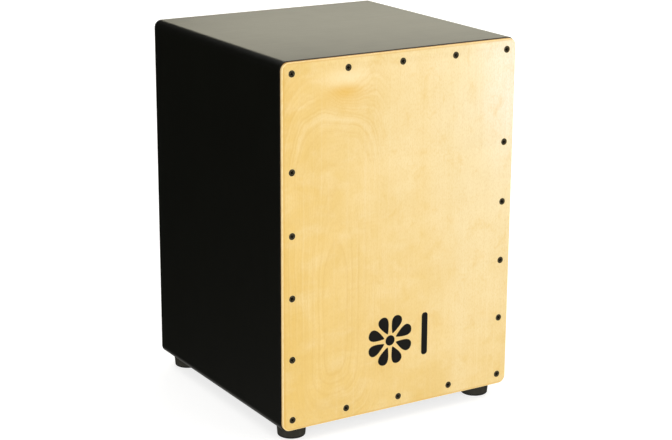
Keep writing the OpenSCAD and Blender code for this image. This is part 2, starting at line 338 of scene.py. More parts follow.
def birch_paint():
    """Rotary-cut birch veneer of the playing plate."""
    paint = Paint("birch_veneer", roughness=0.42, specular=0.4)
    x, _, z = paint.axes()
    clouds = paint.noise((16, 1, 11), detail=4, roughness=0.6, offset=(1, 0, 9)).smooth(0.3, 0.72)
    rings, dent = birch_figure(paint)
    ground, lines = birch_growth(paint, birch_tone(paint, clouds), rings)

    hairs = paint.noise((520, 1, 7), detail=3, roughness=0.65).smooth(0.40, 0.72)
    hairs = hairs * x.smooth(-120 * MM, 60 * MM, 0.35, 1.0)
    pale_hairs = paint.noise((310, 1, 5), detail=2, roughness=0.6, offset=(4, 0, 6)).smooth(0.50, 0.78)
    flecks = paint.noise((760, 1, 330), detail=2, roughness=0.6, offset=(0, 0, 3)).smooth(0.40, 0.72)
    pale_spot = paint.spot((-69 * MM, 401.5 * MM), (24 * MM, 9 * MM))
    amber_spot = paint.spot((-73 * MM, 386.5 * MM), (21 * MM, 6.5 * MM))
    amber_haze = paint.spot((-74 * MM, 377 * MM), (24 * MM, 10 * MM))
    ripples = (rings * (2 * math.pi / (2.5 * MM))).sine().smooth(0.1, 1.0) * dent.smooth(0.08, 0.5)
    half_w, half_h = PLATE_HIGH[0], (PLATE_HIGH[2] - PLATE_LOW[2]) / 2
    left_rim = (x * -1.0).smooth(half_w - 3.6 * MM, half_w - 2.4 * MM)
    end_rims = (z - BOX_MIDDLE_Z).abs().smooth(half_h - 3.3 * MM, half_h - 1.1 * MM)
    paint.colour(paint.layered(ground, (
        (hairs * 0.13, (0.720, 0.480, 0.150)),
        (pale_hairs * 0.10, (0.900, 0.790, 0.560)),
        (flecks * 0.24, (0.680, 0.430, 0.120)),
        (pale_spot * 0.45, GROWTH_CREAM),
        (amber_spot * 0.55 + amber_haze * 0.28, (0.740, 0.430, 0.055)),
        (ripples * z.smooth(394 * MM, 386 * MM) * 0.22, (0.680, 0.390, 0.060)),
        (left_rim.math("MAXIMUM", end_rims) * 0.55, (0.700, 0.410, 0.090)),
    )))
    paint.rough(clouds * 0.08 + hairs * 0.06 + 0.36)
    paint.bump(hairs * 0.5 + lines * 0.3 + flecks * -0.4, 0.03 * MM)
    return paint.material


def ply_edge_paint():
    """Sanded edge of the playing plate: three plies run round it. Its top is brown, partly stain and partly
    painted shade, and its back is darkened as painted shade.
    """
    paint = Paint("birch_ply_edge", roughness=0.5, specular=0.35)
    _, y, _ = paint.axes()
    _, _, facing_up = paint.axes(paint.facing)
    depth = (y - FACE_Y) / (PLATE_BACK_Y - FACE_Y)
    wander = paint.noise((60, 60, 60), detail=2) * 0.05
    core = (depth + wander - 0.52).abs().smooth(0.17, 0.14)
    fibres = paint.noise((700, 700, 160), detail=3).smooth(0.35, 0.7)
    pale = paint.mix(fibres, (0.90, 0.66, 0.28), (0.97, 0.78, 0.42))
    colour = paint.mix(core * 0.35, pale, (0.66, 0.44, 0.20))
    # Painted shade: darker towards the back, where the edge meets the body and deep in the screw holes
    colour = paint.mix(depth.smooth(0.60, 0.92) * 0.85, colour, (0.34, 0.16, 0.04))
    # Painted shade with some stain: faces that look up turn brown, more so towards the back
    stained_and_shaded_top = facing_up.smooth(0.60, 0.95)
    colour = paint.mix(stained_and_shaded_top * (depth.smooth(0.05, 0.5) * 0.35 + 0.5), colour, (0.55, 0.27, 0.05))
    paint.colour(colour)
    paint.rough(fibres * 0.2 + 0.42)
    paint.bump(fibres * 0.6 + core * 0.4, 0.06 * MM)
    return paint.material


def black_paint(name, grain_scale, sheen_roughness, specular):
    """Satin black paint over fibreboard: soft ripple, faint sanding streaks and rubbed edges."""
    paint = Paint(name, specular=specular)
    ripple = paint.noise((38, 38, 38), detail=3)
    streaks = paint.noise(grain_scale, detail=3, roughness=0.6).smooth(0.3, 0.72)
    speck = paint.noise((900, 900, 900), detail=1).smooth(0.68, 0.82)
    worn = paint.worn_edges()
    colour = paint.mix(streaks, (0.0018, 0.0021, 0.0010), (0.0030, 0.0033, 0.0018))
    colour = paint.mix(worn * 0.12, colour, (0.022, 0.021, 0.017))
    colour = paint.mix(speck * 0.2, colour, (0.014, 0.014, 0.011))
    paint.colour(colour)
    paint.rough(streaks * 0.025 + ripple * 0.03 + worn * 0.05 + sheen_roughness)
    paint.bump(ripple * 0.5 + streaks * 0.12 + speck * 0.2, 0.03 * MM)
    return paint.material


def fibreboard_paint():
    """Raw fibreboard: the unpainted faces inside the box and the sound hole's edge."""
    paint = Paint("raw_fibreboard", roughness=0.85, specular=0.2)
    fibres = paint.noise((420, 420, 420), detail=5, roughness=0.7).smooth(0.3, 0.7)
    patches = paint.noise((14, 14, 14), detail=3).smooth(0.3, 0.7)
    colour = paint.mix(fibres, (0.20, 0.125, 0.065), (0.33, 0.225, 0.130))
    colour = paint.mix(patches * 0.35, colour, (0.24, 0.150, 0.080))
    paint.colour(colour)
    paint.rough(fibres * 0.12 + 0.78)
    paint.bump(fibres, 0.1 * MM)
    return paint.material


def timber_paint(name, along, pale, dark, ring_gap=4.2 * MM):
    """Planed softwood or beech with its grain along one axis."""
    paint = Paint(name, roughness=0.6, specular=0.3)
    stretch = [0.06 if axis == along else 1.0 for axis in "xyz"]
    fibre_scale = [900 * s for s in stretch]
    warp = paint.noise([34 * s for s in stretch], detail=3)
    x, y, z = paint.axes()
    first, second = [c for c, axis in ((x, "x"), (y, "y"), (z, "z")) if axis != along]
    depth = first * 0.8 + second * 0.6 + warp * (16 * MM)
    rings = (depth * (2 * math.pi / ring_gap)).sine().smooth(-0.2, 1.0)
    fibres = paint.noise(fibre_scale, detail=3, roughness=0.6).smooth(0.3, 0.72)
    colour = paint.mix(rings * 0.6, pale, dark)
    colour = paint.mix(fibres * 0.3, colour, dark)
    paint.colour(colour)
    paint.rough(fibres * 0.2 + rings * -0.08 + 0.55)
    paint.bump(fibres * 0.7 + rings * 0.3, 0.08 * MM)
    return paint.material


def rubber_paint():
    """Moulded rubber of the feet, dusty on its sides, with painted shade that darkens it just above the
    floor.
    """
    paint = Paint("foot_rubber", specular=0.32)
    grain = paint.noise((1300, 1300, 1300), detail=2)
    dust = paint.noise((120, 120, 60), detail=4).smooth(0.5, 0.75)
    _, _, z = paint.axes()
    # Painted shade: near black just above the floor, where the floor's glow would light it
    low = z.smooth(3.5 * MM, 1 * MM)
    worn = paint.worn_edges()
    colour = paint.mix(dust * 0.5, (0.030, 0.028, 0.020), (0.052, 0.050, 0.038))
    colour = paint.mix(low * 0.85, colour, (0.006, 0.006, 0.004))
    colour = paint.mix(worn * 0.2, colour, (0.055, 0.053, 0.045))
    paint.colour(colour)
    paint.rough(grain * 0.12 + dust * 0.12 + low * 0.2 + 0.42)
    paint.bump(grain, 0.05 * MM)
    return paint.material


def metal_paint(name, colour, darker, roughness, metallic=1.0):
    """Metal with small stains and a fine uneven finish."""
    paint = Paint(name, metallic=metallic)
    brushed = paint.noise((300, 300, 300), detail=3)
    spots = paint.noise((700, 700, 700), detail=3).smooth(0.5, 0.75)
    paint.colour(paint.mix(spots * 0.6 + brushed * 0.3, colour, darker))
    paint.rough(brushed * 0.16 + spots * 0.15 + roughness)
    paint.bump(brushed * 0.6 + spots * 0.4, 0.02 * MM)
    return paint.material


def print_paint():
    """Screen-printed black of the emblem, thin enough to show the veneer's grain."""
    paint = Paint("black_print", specular=0.3)
    grain = paint.noise((620, 1, 9), detail=3, roughness=0.6).smooth(0.38, 0.72)
    mottle = paint.noise((260, 260, 260), detail=3)
    paint.colour(paint.mix(grain * 0.5 + mottle * 0.3, (0.0045, 0.0042, 0.0035), (0.010, 0.009, 0.007)))
    paint.rough(grain * 0.12 + mottle * 0.1 + 0.42)
    paint.bump(grain, 0.03 * MM)
    return paint.material


PINE = ((0.72, 0.50, 0.27), (0.50, 0.29, 0.12))
BEECH = ((0.66, 0.42, 0.24), (0.48, 0.27, 0.14))
BLACK_STEEL = ((0.110, 0.092, 0.052), (0.036, 0.028, 0.013))
# Dark oxide with painted shade, for the rims and recesses of black screws
RECESS_OXIDE_AND_SHADE = ((0.008, 0.006, 0.003), (0.003, 0.002, 0.001))
PLATED_STEEL = ((0.62, 0.61, 0.58), (0.36, 0.35, 0.33))

MATERIALS = {
    "birch": birch_paint(),
    "ply_edge": ply_edge_paint(),
    "seat_black": black_paint("black_seat", (14, 420, 14), 0.40, 0.5),
    "side_black": black_paint("black_side", (420, 420, 14), 0.34, 0.42),
    "back_black": black_paint("black_back", (420, 14, 14), 0.42, 0.4),
    "fibreboard": fibreboard_paint(),
    "pine_x": timber_paint("pine_along_x", "x", *PINE),
    "pine_y": timber_paint("pine_along_y", "y", *PINE),
    "pine_z": timber_paint("pine_along_z", "z", *PINE),
    "beech": timber_paint("beech_along_x", "x", *BEECH, ring_gap=2.6 * MM),
    "rubber": rubber_paint(),
    "black_steel": metal_paint("blackened_steel", *BLACK_STEEL, 0.42, metallic=0.6),
    "black_recess": metal_paint("blackened_and_shaded_recess", *RECESS_OXIDE_AND_SHADE, 0.65, metallic=0.6),
    "steel": metal_paint("plated_steel", *PLATED_STEEL, 0.24),
    "print": print_paint(),
}

# ---------------------------------------------------------------- shapes


class Shape:
    """Points and faces of one piece, each face with the name of its material."""

    def __init__(self):
        self.points = []
        self.faces = []
        self.paints = []
        self.flat = []

    def add_points(self, points):
        start = len(self.points)
        self.points.extend(Vector(p) for p in points)
        return range(start, start + len(points))

    def add_face(self, corners, paint, flat=False):
        self.faces.append(tuple(corners))
        self.paints.append(paint)
        self.flat.append(flat)

    def bridge(self, first, second, paint):
        """Quads between two closed rings of the same length."""
        count = len(first)
        for i in range(count):
            j = (i + 1) % count
            name = paint(i) if callable(paint) else paint
            self.add_face((first[i], first[j], second[j], second[i]), name)

    def loft(self, rings, paint):
        """Skin over closed rings of points. Returns the rings' point numbers."""
        numbered = [self.add_points(ring) for ring in rings]
        for first, second in zip(numbered, numbered[1:]):
            self.bridge(first, second, paint)
        return numbered

    def cap(self, loops, paint):
        """Flat faces inside the first loop and outside the others."""
        flat_list = [number for loop in loops for number in loop]
        for triangle in tessellate_polygon([[self.points[n] for n in loop] for loop in loops]):
            self.add_face([flat_list[t] for t in triangle], paint, flat=True)

    def grid_disc(self, rings, paint):
        """Skin over rings that close in on a middle point, which comes last.

        paint(ring, i) names the material of a ring's face.
        """
        numbered = [self.add_points(ring) for ring in rings[:-1]]
        middle = self.add_points([rings[-1]])[0]
        for k, (first, second) in enumerate(zip(numbered, numbered[1:])):
            self.bridge(first, second, lambda i: paint(k, i))
        inner = numbered[-1]
        for i in range(len(inner)):
            self.add_face((inner[i], inner[(i + 1) % len(inner)], middle), paint(len(numbered) - 1, i))
        return numbered

    def moved(self, matrix):
        self.points = [matrix @ p for p in self.points]
        return self

    def join(self, other):
        start = len(self.points)
        self.points.extend(other.points)
        self.faces.extend(tuple(n + start for n in face) for face in other.faces)
        self.paints.extend(other.paints)
        self.flat.extend(other.flat)
        return self

    def finish(self, name, nodes, body="root", slot=None, sharp=32):
        """Makes the Blender object, lets it stand for its CAD nodes and ride on its body."""
        mesh = bpy.data.meshes.new(name)
        mesh.from_pydata(self.points, [], self.faces)
        names = sorted(set(self.paints))
        for paint in names:
            mesh.materials.append(MATERIALS[paint])
        for polygon, paint, flat in zip(mesh.polygons, self.paints, self.flat):
            polygon.material_index = names.index(paint)
            polygon.use_smooth = not flat
        tidy_mesh(mesh)
        mesh.set_sharp_from_angle(angle=math.radians(sharp))
        piece = bpy.data.objects.new(name, mesh)
        bpy.context.scene.collection.objects.link(piece)
        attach(piece, body)
        if nodes:
            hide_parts(*nodes)
        slot or slot_of(nodes[0])


def tidy_mesh(mesh):
    """Welds doubled points and turns every face outwards."""
    work = bmesh.new()
    work.from_mesh(mesh)
    bmesh.ops.remove_doubles(work, verts=work.verts, dist=1e-7)
    bmesh.ops.dissolve_degenerate(work, edges=work.edges, dist=1e-8)
    bmesh.ops.recalc_face_normals(work, faces=work.faces)
    work.to_mesh(mesh)
    work.free()
    mesh.update()


def slot_of(node):
    for part in frame["record"]["subparts"]:
        if part["node"] == node:
            return part["material_slot"]
    return None


def circle(radius, count):
    angles = [2 * math.pi * i / count for i in range(count)]
    return [(radius * math.cos(a), radius * math.sin(a)) for a in angles]


def round_rect(width, height, radius, steps=10):
    """Outline of a rectangle with round corners, anticlockwise, centred on the origin."""
    points = []
    corners = ((1, 1, 0), (-1, 1, 90), (-1, -1, 180), (1, -1, 270))
    for sx, sy, start in corners:
        for i in range(steps + 1):
            angle = math.radians(start + 90 * i / steps)
            points.append((sx * (width / 2 - radius) + radius * math.cos(angle),
                           sy * (height / 2 - radius) + radius * math.sin(angle)))
    return points


def rounding(radius, steps=5):
    """(inset, depth) pairs round a quarter circle, from the face to the side."""
    angles = [math.pi / 2 * i / steps for i in range(steps + 1)]
    return [(radius * (1 - math.sin(a)), radius * (1 - math.cos(a))) for a in angles]


def turned(profile, count=64):
    """Rings of a solid of revolution about Z from its (radius, height) pairs."""
    return [[(x, y, height) for x, y in circle(radius, count)] for radius, height in profile]


def slab(outline, holes, thickness, front_edge, back_edge, paints):
    """Flat board from z = 0 down to -thickness.

    outline(inset) gives the loops of its edge, and holes holds (rings, paint) pairs.
    """
    shape = Shape()
    face_paint, edge_paint, back_paint = paints
    front = rounding(front_edge)
    back = [(inset, thickness - depth) for inset, depth in reversed(rounding(back_edge))]
    rings = [[(x, y, -depth) for x, y in outline(inset)] for inset, depth in front + back]
    outer = shape.loft(rings, edge_paint)
    tops, ends = [outer[0]], [outer[-1]]
    for hole_rings, hole_paint in holes:
        numbered = shape.loft(hole_rings, hole_paint)
        tops.append(numbered[0])
        ends.append(numbered[-1])
    shape.cap(tops, face_paint)
    shape.cap(ends, back_paint)
    return shape


def bored(x, y, profile, count=40):
    """Rings of a hole at x, y from its (radius, depth) pairs."""
    return [[(x + px, y + py, -depth) for px, py in circle(radius, count)] for radius, depth in profile]


# Turns a shape drawn in X and Y, facing +Z, into one that faces the player or the back
FACING_FRONT = Matrix(((1, 0, 0, 0), (0, 0, -1, 0), (0, 1, 0, 0), (0, 0, 0, 1)))
FACING_BACK = Matrix(((-1, 0, 0, 0), (0, 0, 1, 0), (0, 1, 0, 0), (0, 0, 0, 1)))


def facing_front(x, y, z):
    return Matrix.Translation((x, y, z)) @ FACING_FRONT


def facing_back(x, y, z):
    return Matrix.Translation((x, y, z)) @ FACING_BACK


# ---------------------------------------------------------------- body panels


def tube_piece(name, outline, paint):
    """Board of the box's tube, with eased ends.

    outline holds (x, z, nx, nz): a point, and the way in which the easing draws it in.
    """
    shape = Shape()
    front_edge, back_edge = 0.7 * MM, 1.6 * MM
    front = [(inset, PLATE_BACK_Y + depth) for inset, depth in rounding(front_edge, 4)]
    back = [(inset, BACK_Y - depth) for inset, depth in reversed(rounding(back_edge, 6))]
    rings = [[(x - nx * inset, y, z - nz * inset) for x, z, nx, nz in outline]
             for inset, y in front + back]

    def side_paint(i):
        here, after = outline[i], outline[(i + 1) % len(outline)]
        outside = (here[2] or here[3]) and (after[2] or after[3])
        return paint if outside else "fibreboard"

    numbered = shape.loft(rings, side_paint)
    shape.cap([numbered[0]], paint)
    shape.cap([numbered[-1]], paint)
    shape.finish(name, [name])


def rounded_end(side, up, z_flat):
    """Arc of (x, z, nx, nz) round one long edge, from the side panel to the flat face."""
    steps = 14
    middle_x, middle_z = side * (SIDE_X - EDGE_R), z_flat - up * EDGE_R
    points = []
    for i in range(steps + 1):
        angle = math.pi / 2 * i / steps
        nx, nz = side * math.cos(angle), up * math.sin(angle)
        points.append((middle_x + EDGE_R * nx, middle_z + EDGE_R * nz, nx, nz))
    return points


def cross_panel(name, up, z_flat, paint):
    """Top or bottom panel, with both of its long edges rounded over."""
    joint_z = z_flat - up * WALL
    left = [(-SIDE_X, joint_z, -1, 0)] + rounded_end(-1, up, z_flat)
    right = list(reversed(rounded_end(1, up, z_flat))) + [(SIDE_X, joint_z, 1, 0)]
    inner = [(INNER_X, joint_z, 0, 0), (-INNER_X, joint_z, 0, 0)]
    tube_piece(name, left + right + inner, paint)


def side_panel(name, side):
    outer = [(side * SIDE_X, INNER_BOTTOM_Z, side, 0), (side * SIDE_X, INNER_TOP_Z, side, 0)]
    inner = [(side * INNER_X, INNER_TOP_Z, 0, 0), (side * INNER_X, INNER_BOTTOM_Z, 0, 0)]
    tube_piece(name, outer + inner, "side_black")


def back_panel():
    """Back with its sound hole, a hair's breadth inside its rebate."""
    low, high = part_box("back_panel")
    thickness = high[1] - low[1]
    gap = 0.15 * MM
    width, height = high[0] - low[0] - 2 * gap, high[2] - low[2] - 2 * gap
    lip, inner_rim = 2.2 * MM, 0.8 * MM
    profile = [(PORT_R + inset, depth) for inset, depth in rounding(lip, 7)]
    profile += [(PORT_R + inset, thickness - depth) for inset, depth in reversed(rounding(inner_rim, 4))]

    def outline(inset):
        return round_rect(width - 2 * inset, height - 2 * inset, 0.6 * MM, 3)

    port = (bored(0, 0, profile, count=128), "fibreboard")
    paints = ("back_black", "back_black", "fibreboard")
    shape = slab(outline, [port], thickness, 0.5 * MM, 0.2 * MM, paints)
    shape.moved(facing_back(0, high[1], (low[2] + high[2]) / 2))
    shape.finish("back_panel_board", ["back_panel"])


# ---------------------------------------------------------------- playing plate and its screws


def plate_screw_places():
    xs = [-SIDE_X + SCREW_INSET_X + i * (SIDE_X - SCREW_INSET_X) / 2 for i in range(5)]
    low, high = BOX_BOTTOM_Z + SCREW_INSET_Z, BOX_TOP_Z - SCREW_INSET_Z
    column = [low + i * SCREW_STEP_Z for i in range(5)] + [high]
    places = [(x, z) for x in (xs[0], xs[-1]) for z in column]
    return places + [(x, z) for x in xs[1:-1] for z in (low, high)]


PRINT_T = 0.06 * MM
PLATE_FACE_Y = FACE_Y + PRINT_T
EMBLEM_PLACE = (-12 * MM, FACE_Y, 97 * MM)


def front_plate():
    """Playing plate with round corners and a countersunk hole for each screw."""
    width, height = PLATE_HIGH[0] - PLATE_LOW[0], PLATE_HIGH[2] - PLATE_LOW[2]
    thickness = PLATE_BACK_Y - PLATE_FACE_Y
    middle_z = (PLATE_LOW[2] + PLATE_HIGH[2]) / 2
    hole_r = 2 * MM
    sink = [(SCREW_HEAD_R + 0.32 * MM, 0), (SCREW_HEAD_R + 0.16 * MM, 0.06 * MM),
            (SCREW_HEAD_R + 0.1 * MM, 0.5 * MM), (hole_r, 2.3 * MM), (hole_r, thickness)]
    holes = [(bored(x, z - middle_z, sink), "ply_edge") for x, z in plate_screw_places()]

    def outline(inset):
        return round_rect(width - 2 * inset, height - 2 * inset, EDGE_R - inset, 14)

    shape = slab(outline, holes, thickness, 0.8 * MM, 0.2 * MM, ("birch", "ply_edge", "birch"))
    shape.moved(facing_front(0, PLATE_FACE_Y, middle_z))
    shape.finish("playing_plate", ["front_plate"])


def cross_recess(x, y, width, reach, depth):
    """Depth of a cross recess, with a round pit in its middle, at a point of a screw's head."""
    wall_slope = 0.22 * MM
    pit_r = 0.42 * reach
    deepest = depth * min(max((pit_r - math.hypot(x, y)) / (0.5 * pit_r), 0.0), 1.0)
    for along, across in ((abs(x), abs(y)), (abs(y), abs(x))):
        wall = min(max((width / 2 - across) / wall_slope + 0.5, 0.0), 1.0)
        floor = min(max((reach - along) / (0.45 * reach), 0.0), 1.0)
        deepest = max(deepest, depth * wall * floor)
    return deepest


def screw(head_r, dome, under_head, shank_r, length, paint, turn, sunk=0.0, segments=48):
    """Screw that points down -Z with its highest point at z = 0. under_head holds (radius, depth) pairs.

    A black screw's rim and recess take a blacker paint: dark oxide, with painted shade in the recess and a
    painted shadow round the rim.
    """
    shape = Shape()
    head_rings, rim_rings = 20, 3
    recess_w, recess_reach, recess_depth = 0.34 * head_r, 0.64 * head_r, 1.5 * MM
    rings, cuts = [], []
    cos_turn, sin_turn = math.cos(turn), math.sin(turn)
    for k in range(head_rings):
        radius = head_r * (1 - k / head_rings)
        lift = dome * (1 - (radius / head_r) ** 2) - dome - sunk
        places = circle(radius, segments)
        cut = [cross_recess(x * cos_turn + y * sin_turn, y * cos_turn - x * sin_turn,
                            recess_w, recess_reach, recess_depth) for x, y in places]
        rings.append([(x, y, lift - depth) for (x, y), depth in zip(places, cut)])
        cuts.append(cut)
    rings.append((0, 0, -sunk - recess_depth))

    def head_paint(k, i):
        # Painted shade with dark oxide: the outer rim and the deep recess
        blacker = paint == "black_steel" and (k < rim_rings or cuts[k][i] > recess_depth / 5)
        return "black_recess" if blacker else paint

    top = shape.grid_disc(rings, head_paint)
    profile = [(radius, -depth - sunk) for radius, depth in under_head]
    depth = under_head[-1][1] + sunk
    pitch, core_r = 1.4 * MM, shank_r * 0.72
    tip_length, tip_r = 3.2 * MM, 0.12 * MM
    while depth < length - tip_length:
        profile += [(core_r, -depth - 0.5 * pitch), (core_r, -depth - 0.7 * pitch),
                    (shank_r, -depth - pitch)]
        depth += pitch
    profile += [(core_r, -depth - 0.5 * pitch), (tip_r, -length)]
    rest = shape.loft(turned(profile, segments), paint)
    shape.bridge(top[0], rest[0], paint)
    shape.cap([rest[-1]], paint)
    return shape


def front_plate_screws():
    shape = Shape()
    cone = [(SCREW_HEAD_R, 0.55 * MM), (SCREW_R, 2.5 * MM)]
    for x, z in plate_screw_places():
        turn = rng.uniform(0, math.pi / 2)
        one = screw(SCREW_HEAD_R, 0.28 * MM, cone, SCREW_R, 20 * MM, "black_steel", turn, 0.05 * MM)
        shape.join(one.moved(facing_front(x, FACE_Y, z)))
    shape.finish("front_plate_screw_set", ["front_plate_screws"])


def print_patch(outline):
    """Thin printed patch that faces +Z."""
    return slab(outline, [], PRINT_T, 0.02 * MM, 0.01 * MM, ("print",) * 3)


def petal(inset):
    """Leaf outline along X from its foot near the middle: broad and round outside, narrow inside."""
    length, width, foot_x = 21.5 * MM, 18.5 * MM, 8.5 * MM
    points = []
    for x, y in circle(1.0, 40):
        taper = 0.62 + 0.38 * x
        points.append((foot_x + length / 2 * (1 + x) - inset * x, (width / 2 * taper - inset) * y))
    return points


def emblem():
    """Plain print low on the plate: a rosette of petals, with an upright bar beside it."""
    petals, middle_r = 8, 6 * MM
    bar_w, bar_h, bar_x = 8 * MM, 50 * MM, 46 * MM
    shape = print_patch(lambda inset: circle(middle_r - inset, 64))
    for i in range(petals):
        shape.join(print_patch(petal).moved(Matrix.Rotation(2 * math.pi * (i + 0.5) / petals, 4, "Z")))

    def bar_outline(inset):
        return round_rect(bar_w - 2 * inset, bar_h - 2 * inset, bar_w / 2.2 - inset, 10)

    shape.join(print_patch(bar_outline).moved(Matrix.Translation((bar_x, 0, 0))))
    shape.moved(facing_front(*EMBLEM_PLACE))
    shape.finish("printed_emblem", [], slot="black_body")


# ---------------------------------------------------------------- battens and glue blocks


def rounded_box(low, high, radius, paint, along):
    """Sawn stick with eased edges, lofted along one axis."""
    axis = "xyz".index(along)
    others = [i for i in range(3) if i != axis]
    size = [high[i] - low[i] for i in range(3)]
    middle = [(high[i] + low[i]) / 2 for i in range(3)]
    shape = Shape()
    end_edge = 0.4 * MM
    ends = [(inset, low[axis] + depth) for inset, depth in rounding(end_edge, 2)]
    ends += [(inset, high[axis] - depth) for inset, depth in reversed(rounding(end_edge, 2))]
    rings = []
    for inset, place in ends:
        ring = []
        width, height = (size[i] - 2 * inset for i in others)
        for u, v in round_rect(width, height, radius - inset, 4):
            point = [0, 0, 0]
            point[axis] = place
            point[others[0]] = middle[others[0]] + u
            point[others[1]] = middle[others[1]] + v
            ring.append(point)
        rings.append(ring)
    numbered = shape.loft(rings, paint)
    shape.cap([numbered[0]], paint)
    shape.cap([numbered[-1]], paint)
    return shape


def stick(node, along):
    """Batten or glue block in its node's box."""
    low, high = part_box(node)
    edge_r = 1.1 * MM
    rounded_box(low, high, edge_r, f"pine_{along}", along).finish(f"{node}_stick", [node])


# ---------------------------------------------------------------- feet


def foot(node):
    """Tapered rubber foot with a recess for its screw. The place of the recess's roof comes back."""
    low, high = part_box(node)
    x, y = (low[0] + high[0]) / 2, (low[1] + high[1]) / 2
    height = high[2] - low[2]
    top_r = (high[0] - low[0]) / 2
    floor_r = top_r - 1.1 * MM
    floor_edge, top_edge, recess_edge = 1.5 * MM, 0.5 * MM, 0.6 * MM
    bore_r, recess_r, recess_h = 2.1 * MM, 6.5 * MM, height - 6 * MM
    bottom = [(floor_r - inset, depth) for inset, depth in rounding(floor_edge, 8)]
    top = [(top_r - inset, height - depth) for inset, depth in reversed(rounding(top_edge, 4))]
    inner = [(bore_r, height), (bore_r, recess_h), (recess_r, recess_h), (recess_r, recess_edge),
             (recess_r + recess_edge, 0)]
    shape = Shape()
    shape.loft(turned(bottom + top + inner + bottom[:1], 96), "rubber")
    shape.moved(Matrix.Translation((x, y, low[2])))
    shape.finish(f"{node}_rubber", [node], sharp=50)
    return x, y, low[2] + recess_h


def foot_hardware(spots):
    """Washer and round-headed screw under the roof of each foot's recess."""
    washers, screws = Shape(), Shape()
    washer_t, washer_r, hole_r, edge = 1 * MM, 6 * MM, 2.1 * MM, 0.2 * MM
    profile = [(hole_r, 0), (washer_r - edge, 0), (washer_r, edge), (washer_r, washer_t - edge),
               (washer_r - edge, washer_t), (hole_r, washer_t), (hole_r, 0)]
    head_r, head_h, length = 3.9 * MM, 2.4 * MM, 19 * MM
    under = [(head_r + 0.1 * MM, head_h / 2), (head_r, head_h), (SCREW_R, head_h)]
    upside_down = Matrix.Rotation(math.pi, 4, "X")
    for x, y, z in spots:
        washer = Shape()
        washer.loft(turned(profile, 48), "steel")
        washers.join(washer.moved(Matrix.Translation((x, y, z - washer_t))))
        one = screw(head_r, 0.9 * MM, under, SCREW_R, length, "black_steel", rng.uniform(0, 1.5))
        screws.join(one.moved(Matrix.Translation((x, y, z - washer_t - head_h)) @ upside_down))
    washers.finish("foot_washer_set", ["foot_washers"], sharp=40)
    screws.finish("foot_screw_set", ["foot_screws"])


# ---------------------------------------------------------------- snares


def leaned(x=0.0):
    """Place on the snare bar: drawn upright about its axis, leaned with the wires."""
    return Matrix.Translation((x, BAR_CENTRE.y, BAR_CENTRE.z)) @ Matrix.Rotation(WIRE_LEAN, 4, "X")


def snare_bar():
    """Dowel with a flat for each clip."""
    low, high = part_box("snare_bar")
    half = (high[0] - low[0]) / 2
    flat_half, edge, sides = 24 * MM, 1.2 * MM, 72

    def ring(x, radius, flattened):
        angles = [2 * math.pi * i / sides for i in range(sides)]
        points = [(x, radius * math.sin(a), radius * math.cos(a)) for a in angles]
        return [(px, max(py, BAR_FLAT_Y), pz) for px, py, pz in points] if flattened else points

    flat_ends = ((-flat_half, False), (-flat_half, True), (flat_half, True), (flat_half, False))
    rings = [ring(-half + depth, BAR_R - inset, False) for inset, depth in rounding(edge)]
    for middle in (-SNARE_X, SNARE_X):
        rings += [ring(middle + x, BAR_R, flattened) for x, flattened in flat_ends]
    rings += [ring(half - depth, BAR_R - inset, False) for inset, depth in reversed(rounding(edge))]
    shape = Shape()
    numbered = shape.loft(rings, "beech")
    shape.cap([numbered[0]], "beech")
    shape.cap([numbered[-1]], "beech")
    shape.moved(leaned())
    shape.finish("snare_bar_dowel", ["snare_bar"], body="snare")


BLOCK_SCREW_ZS = (-24 * MM, 24 * MM)


def snare_block(node, side):
    """Bearing block on a side panel. Its inner face's place, and the way that it faces, come back."""
    low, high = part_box(node)
    thickness = high[0] - low[0]
    width, height = high[1] - low[1], high[2] - low[2]
    bore_r, edge = BAR_R + 0.06 * MM, 0.5 * MM
    bore = (bored(0, 0, [(bore_r + edge, 0), (bore_r, edge), (bore_r, thickness)], 72), "pine_z")
    shank_r = SCREW_R + 0.1 * MM
    sink = [(SCREW_HEAD_R + 0.15 * MM, 0), (SCREW_HEAD_R + 0.1 * MM, 0.5 * MM), (shank_r, 2.5 * MM),
            (shank_r, thickness)]
    holes = [bore] + [(bored(0, z, sink, 32), "pine_z") for z in BLOCK_SCREW_ZS]

    def outline(inset):
        return round_rect(width - 2 * inset, height - 2 * inset, 5 * MM - inset, 6)

    shape = slab(outline, holes, thickness, 1.0 * MM, 0.2 * MM, ("pine_z",) * 3)
    inward = Matrix(((0, 0, -side, 0), (side, 0, 0, 0), (0, 1, 0, 0), (0, 0, 0, 1)))
    face_x = low[0] if side > 0 else high[0]
    shape.moved(Matrix.Translation((face_x, BAR_CENTRE.y, BAR_CENTRE.z)) @ inward)
    shape.finish(f"{node}_bearing", [node])
    return face_x, inward


def snare_block_screws(places):
    shape = Shape()
    cone = [(SCREW_HEAD_R, 0.5 * MM), (SCREW_R, 2.4 * MM)]
    for face_x, inward in places:
        for z in BLOCK_SCREW_ZS:
            turn = rng.uniform(0, math.pi / 2)
            one = screw(SCREW_HEAD_R, 0.2 * MM, cone, SCREW_R, 18 * MM, "black_steel", turn, 0.05 * MM)
            shape.join(one.moved(Matrix.Translation((face_x, BAR_CENTRE.y, BAR_CENTRE.z + z)) @ inward))
    shape.finish("snare_block_screw_set", ["snare_block_screws"])


def snare_clip(node, x):
    """Steel strip that holds a snare's wires on the bar."""
    width, height, corner_r, hole_r = 46 * MM, 13 * MM, 2.5 * MM, 1.25 * MM
    sink = [(hole_r + 0.2 * MM, 0), (hole_r, 0.2 * MM), (hole_r, CLIP_T)]
    holes = [(bored(screw_x, CLIP_SCREW_Z, sink, 28), "steel") for screw_x in CLIP_SCREW_XS]

    def outline(inset):
        return round_rect(width - 2 * inset, height - 2 * inset, corner_r - inset, 6)

    shape = slab(outline, holes, CLIP_T, 0.25 * MM, 0.1 * MM, ("steel",) * 3)
    shape.moved(leaned(x) @ facing_front(0, CLIP_FACE_Y, 0))
    shape.finish(f"{node}_plate", [node], body="snare")


